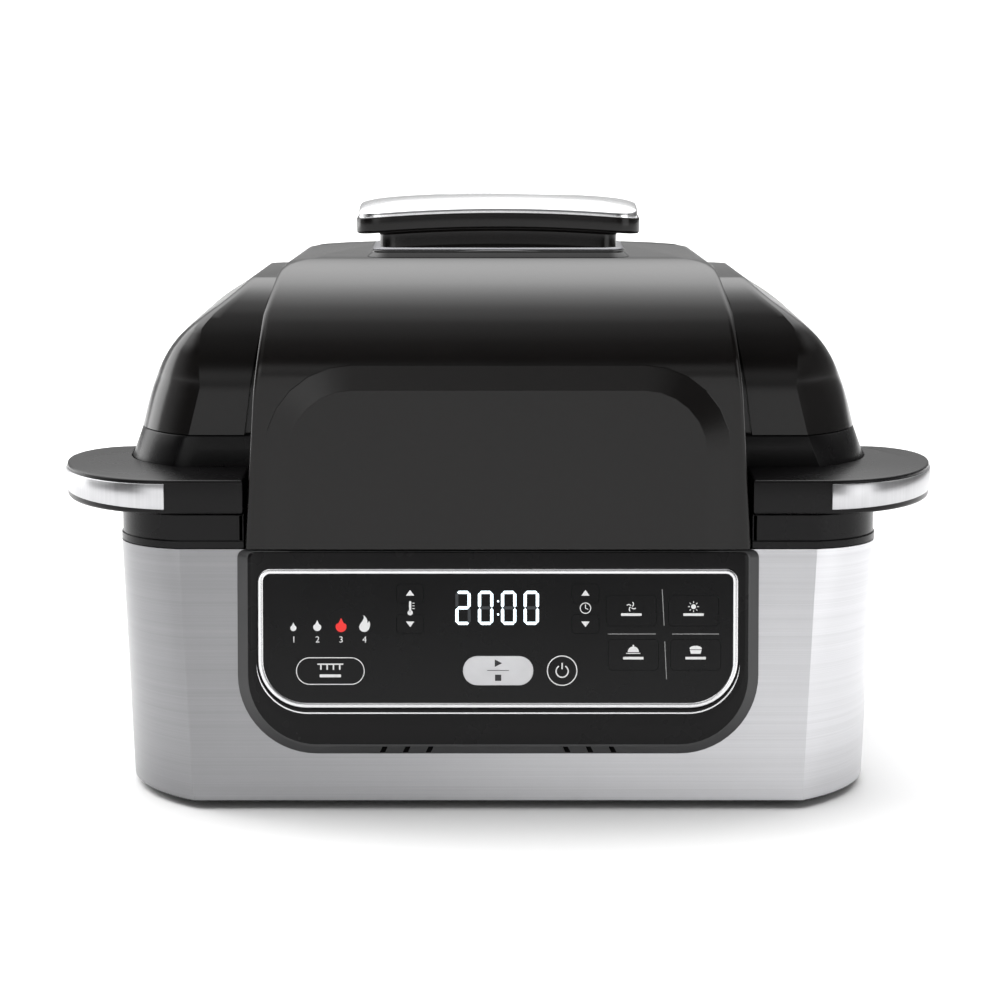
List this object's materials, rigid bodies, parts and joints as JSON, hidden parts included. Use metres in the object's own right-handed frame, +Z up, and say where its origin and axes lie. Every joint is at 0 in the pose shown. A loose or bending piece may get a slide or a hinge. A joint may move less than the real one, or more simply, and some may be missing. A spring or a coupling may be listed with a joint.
{
  "type": "electric indoor grill with lid",
  "caption": "Countertop electric grill with a hinged domed lid, removable pot and grill plate, tilted key panel, side handles and a convection fan.",
  "frame": {"origin": "on the table under the middle of the appliance's bounding box", "axes": "+Z up, front is -Y, +X to the right seen from the front"},
  "size_m": [0.43, 0.3428, 0.2886],
  "materials": {
    "gloss_black": "high gloss",
    "satin_black": "satin",
    "matte_black": "matte",
    "brushed_steel": "fine horizontal brushing",
    "bright_trim": "bright brushed",
    "silver_cap": "bright satin",
    "stamped_steel": "mill finish",
    "aluminised_steel": "satin",
    "screw_steel": "zinc plated",
    "pin_steel": "polished",
    "ceramic_coat": "satin non-stick coating",
    "cast_grill": "satin non-stick coating",
    "element_sheath": "oxidised metal",
    "rubber": "matte",
    "silicone": "matte",
    "circuit_board": "solder mask",
    "display_dark": "smoked lens",
    "key_black": "gloss with printed marks",
    "key_silver": "silver",
    "motor_metal": "semi gloss"
  },
  "bodies": {
    "root": {"base_pan": "matte_black", "rubber_feet": "rubber", "base_screws": "screw_steel", "base_frame": "matte_black", "steel_wrap": "brushed_steel", "rear_cover": "matte_black", "cord_inlet": "rubber", "upper_collar": "satin_black", "left_handle": "satin_black", "right_handle": "satin_black", "left_handle_strip": "bright_trim", "right_handle_strip": "bright_trim", "handle_screws": "screw_steel", "well_liner": "aluminised_steel", "cooking_pot": "ceramic_coat", "grill_grate": "cast_grill", "control_bezel": "satin_black", "panel_ring": "bright_trim", "panel_overlay": "gloss_black", "display_module": "display_dark", "control_board": "circuit_board", "board_screws": "screw_steel", "key_switches": "matte_black", "power_board": "circuit_board", "hinge_brackets": "stamped_steel", "hinge_pins": "pin_steel", "hinge_screws": "screw_steel"},
    "grill_button": {"grill_key": "key_black"},
    "start_stop_button": {"start_stop_key": "key_silver"},
    "power_button": {"power_key": "key_black"},
    "temp_up_button": {"temp_up_key": "key_black"},
    "temp_down_button": {"temp_down_key": "key_black"},
    "time_up_button": {"time_up_key": "key_black"},
    "time_down_button": {"time_down_key": "key_black"},
    "crisp_button": {"crisp_key": "key_black"},
    "dehydrate_button": {"dehydrate_key": "key_black"},
    "roast_button": {"roast_key": "key_black"},
    "bake_button": {"bake_key": "key_black"},
    "lid": {"lid_shell": "gloss_black", "lid_cover": "gloss_black", "lid_frame": "matte_black", "lid_liner": "aluminised_steel", "lid_gasket": "silicone", "lid_hinge_arms": "stamped_steel", "lid_screws": "screw_steel", "heating_element": "element_sheath", "element_clips": "stamped_steel", "splatter_shield": "aluminised_steel", "temperature_probe": "pin_steel", "fan_motor": "motor_metal", "motor_bracket": "stamped_steel", "rear_vent_grille": "matte_black", "lid_handle_base": "satin_black", "lid_handle_grip": "satin_black", "lid_handle_cap": "silver_cap", "handle_bolts": "screw_steel"},
    "fan": {"motor_shaft": "pin_steel", "fan_wheel": "stamped_steel", "cooling_fan": "matte_black"}
  },
  "joints": [
    {"name": "lid_hinge", "type": "hinge", "parent": "root", "child": "lid", "pos_m": [0, 0.161, 0.175], "axis": [-1, 0, 0], "range_deg": [0, 85]},
    {"name": "grill_press", "type": "slide", "parent": "root", "child": "grill_button", "axis": [0, 0.9959, -0.0909], "range_m": [0, 0.0005], "stiffness_N_per_m": 600},
    {"name": "start_stop_press", "type": "slide", "parent": "root", "child": "start_stop_button", "axis": [0, 0.9959, -0.0909], "range_m": [0, 0.0005], "stiffness_N_per_m": 600},
    {"name": "power_press", "type": "slide", "parent": "root", "child": "power_button", "axis": [0, 0.9959, -0.0909], "range_m": [0, 0.0005], "stiffness_N_per_m": 600},
    {"name": "temp_up_press", "type": "slide", "parent": "root", "child": "temp_up_button", "axis": [0, 0.9959, -0.0909], "range_m": [0, 0.0005], "stiffness_N_per_m": 600},
    {"name": "temp_down_press", "type": "slide", "parent": "root", "child": "temp_down_button", "axis": [0, 0.9959, -0.0909], "range_m": [0, 0.0005], "stiffness_N_per_m": 600},
    {"name": "time_up_press", "type": "slide", "parent": "root", "child": "time_up_button", "axis": [0, 0.9959, -0.0909], "range_m": [0, 0.0005], "stiffness_N_per_m": 600},
    {"name": "time_down_press", "type": "slide", "parent": "root", "child": "time_down_button", "axis": [0, 0.9959, -0.0909], "range_m": [0, 0.0005], "stiffness_N_per_m": 600},
    {"name": "crisp_press", "type": "slide", "parent": "root", "child": "crisp_button", "axis": [0, 0.9959, -0.0909], "range_m": [0, 0.0005], "stiffness_N_per_m": 600},
    {"name": "dehydrate_press", "type": "slide", "parent": "root", "child": "dehydrate_button", "axis": [0, 0.9959, -0.0909], "range_m": [0, 0.0005], "stiffness_N_per_m": 600},
    {"name": "roast_press", "type": "slide", "parent": "root", "child": "roast_button", "axis": [0, 0.9959, -0.0909], "range_m": [0, 0.0005], "stiffness_N_per_m": 600},
    {"name": "bake_press", "type": "slide", "parent": "root", "child": "bake_button", "axis": [0, 0.9959, -0.0909], "range_m": [0, 0.0005], "stiffness_N_per_m": 600},
    {"name": "fan_spin", "type": "hinge", "parent": "lid", "child": "fan", "pos_m": [0, 0.016, 0.2], "axis": [0, 0, 1], "continuous": true}
  ]
}
